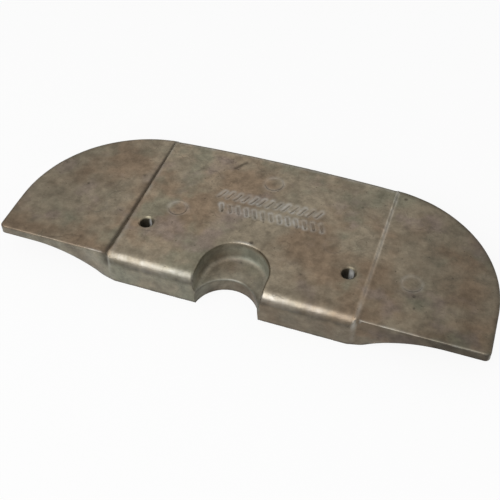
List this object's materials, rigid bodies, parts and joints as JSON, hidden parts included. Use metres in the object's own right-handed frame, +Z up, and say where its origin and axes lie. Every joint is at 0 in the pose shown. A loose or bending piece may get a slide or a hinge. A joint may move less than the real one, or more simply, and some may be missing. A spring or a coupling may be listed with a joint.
{
  "type": "sacrificial anode",
  "caption": "Cast metal anode plate with a thick centre block, two thin rounded wings, a stepped half-round front notch and screw holes.",
  "frame": {"origin": "on the flat seat under the block, midway between the two screw holes", "axes": "+X along the straight front edge, +Y towards the rounded back edge, +Z up, out of the open face"},
  "size_m": [0.24, 0.0908, 0.019],
  "materials": {
    "cast_metal": "as cast, matt, stained brown-grey"
  },
  "bodies": {
    "root": {"anode_casting": "cast_metal"}
  },
  "joints": []
}
